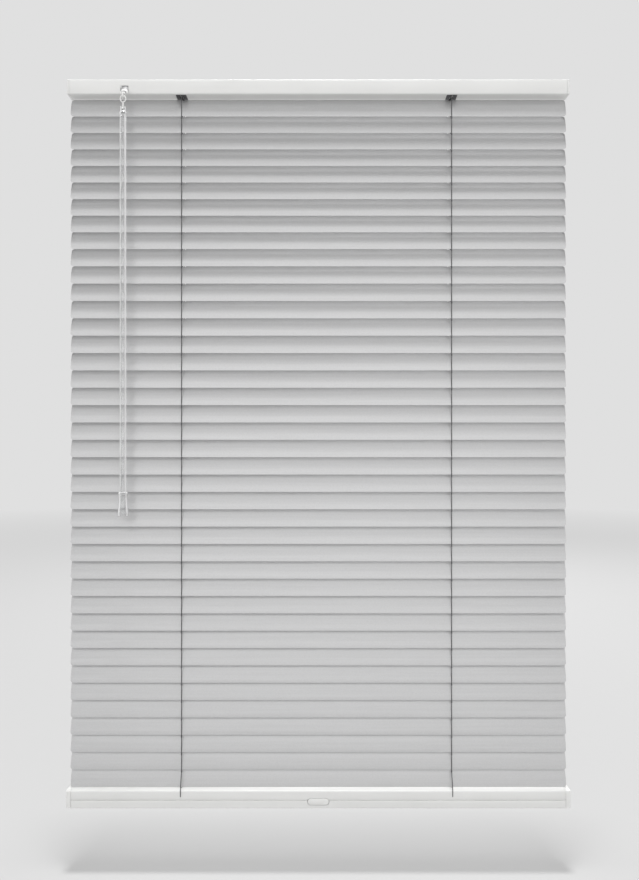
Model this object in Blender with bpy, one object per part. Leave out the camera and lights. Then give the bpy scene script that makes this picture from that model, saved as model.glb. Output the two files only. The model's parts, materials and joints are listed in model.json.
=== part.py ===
"""Aluminium venetian blind, lowered, with its slats closed front edge down.

The origin is the centre of the headrail's back face. +X is to the right seen from the room,
-Y points into the room and +Z is up. Lengths are in metres.
"""

import math

import bmesh
import bpy
from mathutils import Matrix, Vector

MM = 0.001

# Fits: the gap between neighbours, how far a cutter passes a wall, and how far joined pieces overlap
GAP = 0.3 * MM
OVERRUN = 4.0 * MM
OVERLAP = 1.0 * MM

# Both rails
RAIL_DEPTH = 25.0 * MM
AXIS_Y = -RAIL_DEPTH / 2

# Headrail
HEADRAIL_LENGTH = 640.0 * MM
HEADRAIL_HEIGHT = 19.0 * MM
HEADRAIL_WALL = 0.8 * MM
HEADRAIL_CORNER = 1.5 * MM
HEADRAIL_LIP = 4.0 * MM
HEADRAIL_CAP = 2.5 * MM
HEADRAIL_TONGUE = 8.0 * MM
HEADRAIL_FLOOR_Z = -HEADRAIL_HEIGHT / 2 + HEADRAIL_WALL + GAP

# Slats
SLAT_COUNT = 40
SLAT_LENGTH = 636.0 * MM
SLAT_WIDTH = 25.0 * MM
SLAT_CROWN = 1.3 * MM
SLAT_GAUGE = 0.3 * MM
SLAT_CLOSED = math.radians(72.0)
FIRST_SLAT_Z = -22.5 * MM
UPPER_PITCH = 21.3 * MM
UPPER_SPACES = 8
LOWER_PITCH = 22.27 * MM
NOTCH_WIDTH = 5.0 * MM
NOTCH_INBOARD = 2.0 * MM
NOTCH_DEPTH = 2.5 * MM

# Ladders
LADDERS = (("left", -175.5 * MM), ("right", 171.0 * MM))
LADDER_REACH = 14.75 * MM
STRING_RADIUS = 0.35 * MM
STRING_DROP = 1.5 * MM
LADDER_CARRIER_SLAT = 20

# Rod, drums and their cradles. The cradle's sizes are half widths along X and half depths along Y.
ROD_Z = 0.66 * MM
ROD_RADIUS = 2.7 * MM
ROD_ENDS = (-262.0 * MM, 193.0 * MM)
ROD_BEARING = ROD_RADIUS + 0.4 * MM
DRUM_RADIUS = 5.2 * MM
DRUM_GROOVE = 4.0 * MM
DRUM_WIDTH = 9.0 * MM
DRUM_RIM = 1.4 * MM
DRUM_SLANT = 0.6 * MM
FLOOR_HOLE_HALF = (6.8 * MM, 10.0 * MM)
PLUG_HALF = (6.5 * MM, 9.7 * MM)
FLANGE_HALF = (8.5 * MM, 11.1 * MM)
FLANGE_GAUGE = 1.2 * MM
CHEEK_HALF = (0.6 * MM, 5.0 * MM)
CHEEK_X = 5.7 * MM
CHEEK_RISE = 5.5 * MM
CORD_SLOT_HALF = (2.2 * MM, 8.5 * MM)

# Tilter
TILTER_X = -246.0 * MM
TILTER_SLOT = (-252.0 * MM, -241.8 * MM, -6.8 * MM, 1.1 * MM)
WORM_SLOPE = math.radians(50.0)
WORM_TO_ROD = 6.6 * MM
GEAR_TEETH = 10
GEAR_PITCH_RADIUS = 4.6 * MM
GEAR_TIP = 4.9 * MM
GEAR_ROOT = 3.6 * MM
GEAR_WIDTH = 4.0 * MM
WORM_ROOT = 1.4 * MM
WORM_TIP = 2.65 * MM
WORM_PITCH_RADIUS = 2.0 * MM
WORM_LEAD = 2.0 * math.pi * GEAR_PITCH_RADIUS / GEAR_TEETH
STEM_RADIUS = 1.6 * MM
EYE_RADIUS = 3.0 * MM
EYE_WIRE = 0.7 * MM
EYE_OVERRUN = 1.7 * MM

HOUSING_HALF_WIDTH = 4.8 * MM
HOUSING_ENDS_Y = (-23.8 * MM, -4.6 * MM)
HOUSING_TOP_Z = 8.2 * MM
HOUSING_WALL = 1.0 * MM
STEM_BEARING = STEM_RADIUS + 0.35 * MM

# Wand and its hook
WAND_Y = -36.0 * MM
HOOK_RISE = 1.0 * MM
HOOK_HALF_WIDTH = 3.4 * MM
HOOK_HALF_HEIGHT = 4.15 * MM
HOOK_WIRE = 0.75 * MM
SHANK_RADIUS = 1.2 * MM
FOOT_RADIUS = 2.0 * MM
FOOT_HALF_WIDTH = 1.2 * MM
PIN_HOLE_RADIUS = 1.0 * MM
PIN_RADIUS = 0.6 * MM
PIN_HALF_LENGTH = 3.0 * MM
WAND_PIVOT_Z = -32.6 * MM
COLLAR_RADIUS = 3.4 * MM
COLLAR_RISE = 2.6 * MM
FORK_HALF_GAP = 1.6 * MM
FORK_DEPTH = 3.2 * MM
WAND_RADIUS = 4.4 * MM
WAND_TOP_Z = -37.0 * MM
GRIP_TOP_Z = -515.5 * MM
GRIP_BOTTOM_Z = -545.7 * MM
GRIP_RADIUS = 5.4 * MM
GRIP_FOOT_RADIUS = 6.3 * MM
GRIP_FOOT_HEIGHT = 5.0 * MM
GRIP_CHAMFER = 1.0 * MM

# Bottom rail
BOTTOM_LENGTH = 642.6 * MM
BOTTOM_TOP_Z = -896.2 * MM
BOTTOM_HEIGHT = 23.0 * MM
BOTTOM_WALL = 1.2 * MM
BOTTOM_CORNER = 1.6 * MM
BOTTOM_CAP = 6.0 * MM
BOTTOM_TONGUE = 9.0 * MM
GROOVE_Z = -908.3 * MM
GROOVE_HEIGHT = 1.0 * MM
GROOVE_DEPTH = 0.7 * MM
GRIP_PLATE_LENGTH = 27.0 * MM
GRIP_PLATE_HEIGHT = 7.9 * MM
GRIP_PLATE_PROUD = 0.4 * MM
GRIP_PLATE_Z = -910.5 * MM


def clear_scene():
    for obj in list(bpy.data.objects):
        bpy.data.objects.remove(obj, do_unlink=True)


def finish_of(name, colour, roughness, metallic=0.0, transmission=0.0):
    made = bpy.data.materials.new(name)
    made.use_nodes = True
    shader = made.node_tree.nodes["Principled BSDF"]
    shader.inputs["Base Color"].default_value = (*colour, 1.0)
    shader.inputs["Roughness"].default_value = roughness
    shader.inputs["Metallic"].default_value = metallic
    shader.inputs["Transmission Weight"].default_value = transmission
    made.diffuse_color = (*colour, 1.0)
    return made


def add_object(name, mesh, finish=None, parent=None, smooth=False):
    obj = bpy.data.objects.new(name, mesh)
    bpy.context.scene.collection.objects.link(obj)
    if finish and not mesh.materials:
        mesh.materials.append(finish)
    if smooth:
        mesh.shade_smooth()
        mesh.set_sharp_from_angle(angle=math.radians(35))
    obj.parent = parent
    return obj


def pivot(name, location, parent=None):
    """An empty that stands on a joint's axis."""
    empty = bpy.data.objects.new(name, None)
    bpy.context.scene.collection.objects.link(empty)
    empty.location = location
    empty.empty_display_size = 0.01
    empty.parent = parent
    return empty


def mesh_of(name, bm):
    bmesh.ops.recalc_face_normals(bm, faces=bm.faces)
    mesh = bpy.data.meshes.new(name)
    bm.to_mesh(mesh)
    bm.free()
    return mesh


def skin(name, rings):
    """A closed mesh through rings of equal length, with a face over each end."""
    bm = bmesh.new()
    loops = [[bm.verts.new(point) for point in ring] for ring in rings]
    for low, high in zip(loops, loops[1:]):
        for i in range(len(low)):
            j = (i + 1) % len(low)
            bm.faces.new((low[i], low[j], high[j], high[i]))
    bm.faces.new(loops[0])
    bm.faces.new(loops[-1])
    return mesh_of(name, bm)


def prism(name, outline, x_low, x_high):
    """A (y, z) outline extruded along X."""
    return skin(name, [[(x, y, z) for y, z in outline] for x in (x_low, x_high)])


def box(name, low, high):
    outline = [(low[1], low[2]), (high[1], low[2]), (high[1], high[2]), (low[1], high[2])]
    return prism(name, outline, low[0], high[0])


def plan_box(name, x, half, z_low, z_high):
    """A box of half sizes (x, y), centred on the rod's axis in plan."""
    return box(name, (x - half[0], AXIS_Y - half[1], z_low), (x + half[0], AXIS_Y + half[1], z_high))


def circle(radius, sides):
    step = 2 * math.pi / sides
    return [(radius * math.cos(i * step), radius * math.sin(i * step)) for i in range(sides)]


def turned(name, profile, sides):
    """(radius, height) points turned about local Z."""
    return skin(name, [[(x, y, height) for x, y in circle(radius, sides)] for radius, height in profile])


def ring(name, half_width, half_height, wire, steps, sides):
    """A closed oval of round wire in the local XZ plane."""
    bm = bmesh.new()
    loops = []
    for i in range(steps):
        angle = 2 * math.pi * i / steps
        centre = Vector((half_width * math.cos(angle), 0, half_height * math.sin(angle)))
        outward = Vector((half_height * math.cos(angle), 0, half_width * math.sin(angle))).normalized()
        loops.append([bm.verts.new(centre + outward * a + Vector((0, b, 0))) for a, b in circle(wire, sides)])
    for i in range(steps):
        low = loops[i]
        high = loops[(i + 1) % steps]
        for k in range(sides):
            m = (k + 1) % sides
            bm.faces.new((low[k], low[m], high[m], high[k]))
    return mesh_of(name, bm)


def rounded_outline(y_low, y_high, z_low, z_high, radius, steps=3):
    points = []
    corners = (
        (y_high - radius, z_high - radius, 0),
        (y_low + radius, z_high - radius, 90),
        (y_low + radius, z_low + radius, 180),
        (y_high - radius, z_low + radius, 270),
    )
    for y, z, start in corners:
        for i in range(steps + 1):
            angle = math.radians(start + 90 * i / steps)
            points.append((y + radius * math.cos(angle), z + radius * math.sin(angle)))
    return points


def combine(target, tool, operation):
    """Cuts the tool from the target, or joins it on. The tool stays in the file as a hidden helper."""
    modifier = target.modifiers.new(tool.name, "BOOLEAN")
    modifier.operation = operation
    modifier.solver = "EXACT"
    modifier.object = tool
    tool.hide_render = True
    tool.display_type = "WIRE"
    tool.parent = target


def cut(target, mesh):
    combine(target, add_object(mesh.name, mesh), "DIFFERENCE")


def join(target, mesh):
    combine(target, add_object(mesh.name, mesh), "UNION")


def along_x(mesh, location):
    """Turns a mesh made about local Z onto the X direction."""
    mesh.transform(Matrix.Translation(location) @ Matrix.Rotation(math.pi / 2, 4, "Y"))
    return mesh


def headrail(finish):
    """A channel with inward lips, two floor holes for the ladders and a slot for the tilter's stem."""
    low = -HEADRAIL_HEIGHT / 2
    high = HEADRAIL_HEIGHT / 2
    wall = HEADRAIL_WALL
    end = HEADRAIL_LENGTH / 2 - HEADRAIL_CAP - GAP
    outline = rounded_outline(-RAIL_DEPTH, 0, low, high, HEADRAIL_CORNER)
    rail = add_object("headrail", prism("headrail", outline, -end, end), finish, smooth=True)
    inside = rounded_outline(-RAIL_DEPTH + wall, -wall, low + wall, high - wall, HEADRAIL_CORNER - wall)
    cut(rail, prism("headrail_hollow", inside, -end - OVERRUN, end + OVERRUN))
    mouth_low = (-end - OVERRUN, -RAIL_DEPTH + HEADRAIL_LIP, high - OVERRUN)
    mouth_high = (end + OVERRUN, -HEADRAIL_LIP, high + OVERRUN)
    cut(rail, box("headrail_mouth", mouth_low, mouth_high))
    for side, x in LADDERS:
        cut(rail, plan_box("headrail_floor_hole_" + side, x, FLOOR_HOLE_HALF, low - OVERRUN, low + OVERRUN))
    left, right, bottom, top = TILTER_SLOT
    slot_low = (left, -RAIL_DEPTH - OVERRUN, bottom)
    slot_high = (right, -RAIL_DEPTH + OVERRUN, top)
    cut(rail, box("headrail_tilter_slot", slot_low, slot_high))


def headrail_cap(side, sign, finish):
    """An end plate with a tongue that grips inside the channel."""
    low = -HEADRAIL_HEIGHT / 2
    high = HEADRAIL_HEIGHT / 2
    outer = HEADRAIL_LENGTH / 2
    plate = outer - HEADRAIL_CAP
    name = "headrail_cap_" + side
    outline = rounded_outline(-RAIL_DEPTH, 0, low, high, HEADRAIL_CORNER)
    cap = add_object(name, prism(name, outline, *sorted((sign * outer, sign * plate))), finish, smooth=True)
    inset = HEADRAIL_WALL + GAP
    tongue = rounded_outline(-RAIL_DEPTH + inset, -inset, low + inset, high - inset, HEADRAIL_CORNER / 2)
    ends = sorted((sign * (plate - HEADRAIL_TONGUE), sign * (plate + OVERLAP)))
    join(cap, prism("headrail_cap_tongue_" + side, tongue, *ends))


def slat_mesh(finish):
    """The open slat: convex side up, its axis on the chord, a cord notch at each ladder in its rear edge."""
    half = SLAT_WIDTH / 2
    notch = half - NOTCH_DEPTH
    across = [-half, -0.6 * half, -0.2 * half, 0.2 * half, 0.6 * half, notch, half]
    along = [-SLAT_LENGTH / 2]
    for _, x in LADDERS:
        notch_x = x - math.copysign(NOTCH_INBOARD, x)
        along += [notch_x - NOTCH_WIDTH / 2, notch_x + NOTCH_WIDTH / 2]
    along.append(SLAT_LENGTH / 2)
    bm = bmesh.new()
    layers = []
    for offset in (-SLAT_GAUGE / 2, SLAT_GAUGE / 2):
        layer = {}
        for i, x in enumerate(along):
            for j, y in enumerate(across):
                lift = SLAT_CROWN * (1 - (y / half) ** 2)
                slope = -2 * SLAT_CROWN * y / half**2
                normal = Vector((0, -slope, 1)).normalized()
                layer[i, j] = bm.verts.new(Vector((x, y, lift)) + normal * offset)
        layers.append(layer)
    cells = {
        (i, j)
        for i in range(len(along) - 1)
        for j in range(len(across) - 1)
        if not (i in (1, 3) and j == len(across) - 2)
    }
    under, over = layers
    for i, j in cells:
        corners = ((i, j), (i + 1, j), (i + 1, j + 1), (i, j + 1))
        bm.faces.new([over[c] for c in corners])
        bm.faces.new([under[c] for c in reversed(corners)])
        neighbours = ((i, j - 1), (i + 1, j), (i, j + 1), (i - 1, j))
        for k, neighbour in enumerate(neighbours):
            if neighbour not in cells:
                a = corners[k]
                b = corners[(k + 1) % 4]
                bm.faces.new((under[a], under[b], over[b], over[a]))
    mesh = mesh_of("slat", bm)
    mesh.materials.append(finish)
    mesh.shade_smooth()
    mesh.set_sharp_from_angle(angle=math.radians(35))
    return mesh


def slat_z(number):
    """The height of a slat's axis. The first spaces under the headrail are a little closer."""
    spaces = number - 1
    upper = min(spaces, UPPER_SPACES)
    return FIRST_SLAT_Z - upper * UPPER_PITCH - (spaces - upper) * LOWER_PITCH


def slats(finish):
    mesh = slat_mesh(finish)
    for number in range(1, SLAT_COUNT + 1):
        slat = add_object(f"slat_{number:02d}", mesh)
        slat.location = (0, AXIS_Y, slat_z(number))
        slat.rotation_euler.x = SLAT_CLOSED


def ladder_strings(finish):
    """Front and rear strings, a ladder's reach from the slats' axes. Each hangs from the carrier slat."""
    length = abs(slat_z(SLAT_COUNT) - FIRST_SLAT_Z) - STRING_DROP
    room_below = slat_z(SLAT_COUNT) - LADDER_REACH * math.sin(SLAT_CLOSED) - (BOTTOM_TOP_Z + GAP)
    length += room_below
    for place, sign in (("front", -1), ("rear", 1)):
        y = AXIS_Y + sign * LADDER_REACH * math.cos(SLAT_CLOSED)
        rise = sign * LADDER_REACH * math.sin(SLAT_CLOSED)
        hinge_z = slat_z(LADDER_CARRIER_SLAT) + rise
        hinge = pivot("ladder_" + place + "_pivot", (0, y, hinge_z))
        top = FIRST_SLAT_Z + rise - STRING_DROP - hinge_z
        for side, x in LADDERS:
            name = "ladder_" + place + "_" + side
            profile = [(STRING_RADIUS, top - length), (STRING_RADIUS, top)]
            string = add_object(name, turned(name, profile, 6), finish, hinge, smooth=True)
            string.location = (x, 0, 0)


def tilt_shaft(steel, plastic):
    """The rod with its two ladder drums and the tilter's gear."""
    axis = pivot("tilt_axis", (0, AXIS_Y, ROD_Z))
    profile = [(ROD_RADIUS, ROD_ENDS[0]), (ROD_RADIUS, ROD_ENDS[1])]
    add_object("tilt_rod", along_x(turned("tilt_rod", profile, 6), (0, 0, 0)), steel, axis)
    half = DRUM_WIDTH / 2
    rim = half - DRUM_RIM
    groove = rim - DRUM_SLANT
    drum_profile = [
        (DRUM_RADIUS, -half),
        (DRUM_RADIUS, -rim),
        (DRUM_GROOVE, -groove),
        (DRUM_GROOVE, groove),
        (DRUM_RADIUS, rim),
        (DRUM_RADIUS, half),
    ]
    for side, x in LADDERS:
        name = "ladder_drum_" + side
        drum_mesh = along_x(turned(name, drum_profile, 20), (x, 0, 0))
        drum = add_object(name, drum_mesh, plastic, axis, smooth=True)
        cut(drum, rod_bore("drum_bore_" + side, x, DRUM_WIDTH))
    gear = add_object("tilter_gear", gear_mesh(), plastic, axis)
    cut(gear, rod_bore("gear_bore", TILTER_X, GEAR_WIDTH))


def rod_bore(name, x, width):
    radius = ROD_RADIUS + GAP
    return along_x(turned(name, [(radius, -width), (radius, width)], 6), (x, 0, 0))


def gear_mesh():
    """Ten teeth, twisted along X so that they lie along the worm's thread."""
    pitch = 2 * math.pi / GEAR_TEETH
    worm_side = math.atan2(math.cos(WORM_SLOPE), -math.sin(WORM_SLOPE))
    twist = WORM_LEAD / (2 * math.pi * WORM_PITCH_RADIUS * GEAR_PITCH_RADIUS)
    tooth = ((-0.24, GEAR_ROOT), (-0.09, GEAR_TIP), (0.09, GEAR_TIP), (0.24, GEAR_ROOT))
    rings = []
    for x in (-GEAR_WIDTH / 2, 0, GEAR_WIDTH / 2):
        points = []
        for number in range(GEAR_TEETH):
            for share, radius in tooth:
                angle = worm_side + twist * x + (number + 0.5 + share) * pitch
                points.append((TILTER_X + x, radius * math.cos(angle), radius * math.sin(angle)))
        rings.append(points)
    return skin("tilter_gear", rings)


def rod_bearing(name, location):
    """The cutter of a round bearing for the rod."""
    half = PLUG_HALF[0] + OVERRUN
    return along_x(turned(name, [(ROD_BEARING, -half), (ROD_BEARING, half)], 16), location)


def drum_cradle(side, x, finish):
    """Floor plug with a cord slot and two cheeks that carry the rod beside the drum."""
    under = -HEADRAIL_HEIGHT / 2 - GAP
    floor = HEADRAIL_FLOOR_Z
    name = "drum_cradle_" + side
    cradle = add_object(name, plan_box(name, 0, PLUG_HALF, under, floor + FLANGE_GAUGE + GAP), finish)
    cradle.location = (x, 0, 0)
    join(cradle, plan_box("cradle_flange_" + side, 0, FLANGE_HALF, floor, floor + FLANGE_GAUGE))
    for word, cheek_x in (("a", -CHEEK_X), ("b", CHEEK_X)):
        foot = floor + FLANGE_GAUGE / 2
        cheek = plan_box(f"cradle_cheek_{side}_{word}", cheek_x, CHEEK_HALF, foot, ROD_Z + CHEEK_RISE)
        join(cradle, cheek)
    cut(cradle, plan_box("cradle_slot_" + side, 0, CORD_SLOT_HALF, under - OVERRUN, 0))
    cut(cradle, rod_bearing("cradle_bore_" + side, (0, AXIS_Y, ROD_Z)))


def worm_frame():
    """Local Z runs down the worm towards the room, and local X points at the gear."""
    down = Vector((0, -math.cos(WORM_SLOPE), -math.sin(WORM_SLOPE)))
    to_gear = Vector((0, math.sin(WORM_SLOPE), -math.cos(WORM_SLOPE)))
    centre = Vector((TILTER_X, AXIS_Y, ROD_Z)) - to_gear * WORM_TO_ROD
    frame = Matrix((to_gear, Vector((1, 0, 0)), down)).transposed().to_4x4()
    frame.translation = centre
    return frame


def worm_reach():
    """The distance down the worm's axis to where it crosses the wand's axis."""
    return (worm_frame().translation.y - WAND_Y) / math.cos(WORM_SLOPE)


def hook_top_z():
    """The hook's wire passes a little above the crossing of the two axes, inside the worm's eye."""
    return worm_frame().translation.z - worm_reach() * math.sin(WORM_SLOPE) + HOOK_RISE


def tilter_worm(finish):
    frame = worm_frame()
    eye_centre = worm_reach() + EYE_OVERRUN - EYE_RADIUS
    sides = 16
    steps = 20
    rings = []
    for i in range(steps + 1):
        height = WORM_LEAD * (i - steps / 2) / 8
        points = []
        for k in range(sides):
            turn = k / sides
            crest = (0.5 + 0.5 * math.cos(2 * math.pi * (height / WORM_LEAD - turn))) ** 1.5
            radius = WORM_ROOT + (WORM_TIP - WORM_ROOT) * crest
            angle = 2 * math.pi * turn
            points.append((radius * math.cos(angle), radius * math.sin(angle), height))
        rings.append(points)
    for height in (WORM_LEAD * steps / 16 + 0.3 * MM, eye_centre - EYE_RADIUS):
        rings.append([(x, y, height) for x, y in circle(STEM_RADIUS, sides)])
    neck = eye_centre - EYE_RADIUS + 0.4 * MM
    rings.append([(x, y, neck) for x, y in circle(0.8 * STEM_RADIUS, sides)])
    worm = add_object("tilter_worm", skin("tilter_worm", rings), finish, smooth=True)
    worm.matrix_world = frame
    eye = ring("worm_eye", EYE_RADIUS, EYE_RADIUS, EYE_WIRE, 20, 8)
    eye.transform(Matrix.Translation((0, 0, eye_centre)))
    join(worm, eye)


def tilter_housing(finish):
    """Open-topped box clipped inside the rail around the gear and the worm."""
    front, back = HOUSING_ENDS_Y
    wall = HOUSING_WALL
    half = HOUSING_HALF_WIDTH
    shell_low = (TILTER_X - half, front, HEADRAIL_FLOOR_Z)
    shell_high = (TILTER_X + half, back, HOUSING_TOP_Z)
    housing = add_object("tilter_housing", box("tilter_housing", shell_low, shell_high), finish)
    room_low = (TILTER_X - half + wall, front + wall, HEADRAIL_FLOOR_Z + wall)
    room_high = (TILTER_X + half - wall, back - wall, HOUSING_TOP_Z + OVERRUN)
    cut(housing, box("housing_hollow", room_low, room_high))
    cut(housing, rod_bearing("housing_rod_bore", (TILTER_X, AXIS_Y, ROD_Z)))
    stem = turned("housing_stem_bore", [(STEM_BEARING, 5 * MM), (STEM_BEARING, 16 * MM)], 16)
    stem.transform(worm_frame())
    cut(housing, stem)


def wand_hook(finish):
    """Closed wire eye that hangs in the worm's eye, with a flat lower eye for the wand's pin."""
    eye = ring("wand_hook", HOOK_HALF_WIDTH, HOOK_HALF_HEIGHT, HOOK_WIRE, 24, 8)
    hook = add_object("wand_hook", eye, finish)
    centre_z = hook_top_z() - HOOK_HALF_HEIGHT
    hook.location = (TILTER_X, WAND_Y, centre_z)
    hook.data.shade_smooth()
    foot_at = (0, 0, WAND_PIVOT_Z - centre_z)
    shank_foot = foot_at[2] + FOOT_RADIUS / 2
    shank_top = -HOOK_HALF_HEIGHT - HOOK_WIRE / 2
    join(hook, turned("hook_shank", [(SHANK_RADIUS, shank_foot), (SHANK_RADIUS, shank_top)], 12))
    foot = [(FOOT_RADIUS, -FOOT_HALF_WIDTH), (FOOT_RADIUS, FOOT_HALF_WIDTH)]
    join(hook, along_x(turned("hook_foot", foot, 16), foot_at))
    hole = [(PIN_HOLE_RADIUS, -2 * FOOT_HALF_WIDTH), (PIN_HOLE_RADIUS, 2 * FOOT_HALF_WIDTH)]
    cut(hook, along_x(turned("hook_foot_hole", hole, 12), foot_at))


def wand(finish):
    """Clear rod with a forked top, a cross pin and a flared grip at its foot."""
    shoulder = WAND_TOP_Z - WAND_PIVOT_Z
    grip_top = GRIP_TOP_Z - WAND_PIVOT_Z
    grip_foot = GRIP_BOTTOM_Z - WAND_PIVOT_Z
    profile = [
        (COLLAR_RADIUS - 0.4 * MM, COLLAR_RISE),
        (COLLAR_RADIUS, COLLAR_RISE - 0.6 * MM),
        (COLLAR_RADIUS, shoulder + 0.5 * MM),
        (WAND_RADIUS, shoulder - 0.6 * MM),
        (WAND_RADIUS, grip_top),
        (GRIP_RADIUS - 0.1 * MM, grip_top - 0.4 * MM),
        (GRIP_RADIUS, grip_top - 10 * MM),
        (GRIP_FOOT_RADIUS, grip_foot + GRIP_FOOT_HEIGHT),
        (GRIP_FOOT_RADIUS, grip_foot + GRIP_CHAMFER),
        (GRIP_FOOT_RADIUS - GRIP_CHAMFER, grip_foot),
    ]
    rod = add_object("wand", turned("wand", profile, 16), finish, smooth=True)
    rod.location = (TILTER_X, WAND_Y, WAND_PIVOT_Z)
    reach = 2 * COLLAR_RADIUS
    fork_low = (-FORK_HALF_GAP, -reach, -FORK_DEPTH)
    fork_high = (FORK_HALF_GAP, reach, COLLAR_RISE + OVERRUN)
    cut(rod, box("wand_fork_slot", fork_low, fork_high))
    pin = [(PIN_RADIUS, -PIN_HALF_LENGTH), (PIN_RADIUS, PIN_HALF_LENGTH)]
    join(rod, along_x(turned("wand_pin", pin, 10), (0, 0, 0)))


def bottom_outline(inset=0.0, groove=True):
    """The rail's section, with the thin groove along its front face."""
    low = BOTTOM_TOP_Z - BOTTOM_HEIGHT + inset
    high = BOTTOM_TOP_Z - inset
    points = rounded_outline(-RAIL_DEPTH + inset, -inset, low, high, BOTTOM_CORNER - 0.5 * inset)
    if not groove:
        return points
    front = -RAIL_DEPTH
    upper = GROOVE_Z + GROOVE_HEIGHT / 2
    lower = GROOVE_Z - GROOVE_HEIGHT / 2
    dip = [(front, upper), (front + GROOVE_DEPTH, upper), (front + GROOVE_DEPTH, lower), (front, lower)]
    half = len(points) // 2
    return points[:half] + dip + points[half:]


def bottom_rail(finish):
    """A hollow rail with a groove along its front face and a round-ended grip plate at its middle."""
    end = BOTTOM_LENGTH / 2 - BOTTOM_CAP - GAP
    rail = add_object("bottom_rail", prism("bottom_rail", bottom_outline(), -end, end), finish, smooth=True)
    hollow = bottom_outline(inset=BOTTOM_WALL + GROOVE_DEPTH, groove=False)
    cut(rail, prism("bottom_hollow", hollow, -end - OVERRUN, end + OVERRUN))
    half = GRIP_PLATE_LENGTH / 2
    round_end = GRIP_PLATE_HEIGHT / 2
    points = []
    for start, centre in ((-90, half - round_end), (90, -half + round_end)):
        for i in range(9):
            angle = math.radians(start + 180 * i / 8)
            points.append((centre + round_end * math.cos(angle), GRIP_PLATE_Z + round_end * math.sin(angle)))
    depths = (-RAIL_DEPTH - GRIP_PLATE_PROUD, -RAIL_DEPTH + OVERLAP)
    join(rail, skin("bottom_grip_plate", [[(x, y, z) for x, z in points] for y in depths]))


def bottom_rail_cap(side, sign, finish):
    """An end cap with a tongue that plugs the rail."""
    outer = BOTTOM_LENGTH / 2
    plate = outer - BOTTOM_CAP
    ends = sorted((sign * outer, sign * plate))
    name = "bottom_rail_cap_" + side
    cap = add_object(name, prism(name, bottom_outline(groove=False), *ends), finish, smooth=True)
    tongue = bottom_outline(inset=BOTTOM_WALL + GROOVE_DEPTH + GAP, groove=False)
    ends = sorted((sign * (plate - BOTTOM_TONGUE), sign * (plate + OVERLAP)))
    join(cap, prism("bottom_cap_tongue_" + side, tongue, *ends))


def build():
    clear_scene()
    white_steel = finish_of("white_painted_steel", (0.80, 0.80, 0.78), 0.40)
    grey_slat = finish_of("grey_painted_aluminium", (0.55, 0.55, 0.56), 0.35, 0.3)
    white_plastic = finish_of("white_plastic", (0.82, 0.82, 0.80), 0.45)
    grey_plastic = finish_of("grey_plastic", (0.20, 0.20, 0.21), 0.55)
    steel = finish_of("zinc_plated_steel", (0.60, 0.60, 0.62), 0.30, 1.0)
    clear_plastic = finish_of("clear_acrylic", (0.92, 0.94, 0.95), 0.08, transmission=0.9)
    grey_string = finish_of("grey_string", (0.16, 0.16, 0.17), 0.90)

    headrail(white_steel)
    tilt_shaft(steel, white_plastic)
    tilter_housing(grey_plastic)
    tilter_worm(white_plastic)
    wand_hook(white_plastic)
    wand(clear_plastic)
    slats(grey_slat)
    ladder_strings(grey_string)
    bottom_rail(white_steel)
    for side, x in LADDERS:
        sign = math.copysign(1, x)
        headrail_cap(side, sign, white_plastic)
        drum_cradle(side, x, grey_plastic)
        bottom_rail_cap(side, sign, white_plastic)


build()
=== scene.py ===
"""Looks of the aluminium venetian blind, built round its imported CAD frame.

Lengths are in metres. +X is to the right seen from the room, -Y points into the room and +Z is up.
The blind hangs lowered, with its slats closed front edge down.
"""

import json
import math

import bmesh
import bpy
from mathutils import Matrix, Vector


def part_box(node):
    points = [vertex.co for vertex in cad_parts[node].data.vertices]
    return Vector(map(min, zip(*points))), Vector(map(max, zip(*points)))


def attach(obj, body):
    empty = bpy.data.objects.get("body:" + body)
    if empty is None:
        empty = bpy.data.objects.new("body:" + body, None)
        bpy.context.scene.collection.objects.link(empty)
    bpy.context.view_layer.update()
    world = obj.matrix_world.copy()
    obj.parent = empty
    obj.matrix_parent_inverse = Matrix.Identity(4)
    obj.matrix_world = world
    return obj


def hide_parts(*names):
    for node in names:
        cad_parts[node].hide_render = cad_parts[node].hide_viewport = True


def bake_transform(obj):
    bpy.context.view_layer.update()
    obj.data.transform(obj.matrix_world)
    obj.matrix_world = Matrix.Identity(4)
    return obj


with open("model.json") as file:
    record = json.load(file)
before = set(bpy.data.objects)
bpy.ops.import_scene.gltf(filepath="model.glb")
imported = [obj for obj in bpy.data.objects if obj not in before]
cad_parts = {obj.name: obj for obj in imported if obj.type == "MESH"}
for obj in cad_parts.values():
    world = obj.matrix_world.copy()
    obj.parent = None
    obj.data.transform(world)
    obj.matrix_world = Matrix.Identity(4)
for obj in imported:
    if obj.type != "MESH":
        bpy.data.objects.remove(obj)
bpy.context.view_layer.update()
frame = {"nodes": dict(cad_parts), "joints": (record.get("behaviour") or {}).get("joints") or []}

MM = 0.001
JOINTS = {joint["name"]: joint for joint in frame["joints"]}
SIDES = ("left", "right")

# Fits: the gap between neighbours, how far a cutter passes a wall, and how far joined pieces overlap
GAP = 0.3 * MM
OVERRUN = 3.0 * MM
OVERLAP = 0.8 * MM

# The rails, read from the frame
HEAD_LOW, HEAD_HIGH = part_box("headrail")
HEAD_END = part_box("headrail_cap_right")[1].x
BOTTOM_LOW, BOTTOM_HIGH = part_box("bottom_rail_cap_right")
RAIL_FRONT = HEAD_LOW.y
SHAFT = Vector(JOINTS["tilt"]["pos_m"])
AXIS_Y = SHAFT.y
TILTER_X = JOINTS["worm_spin"]["pos_m"][0]
WAND_PIVOT = Vector(JOINTS["wand_swing"]["pos_m"])

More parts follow.
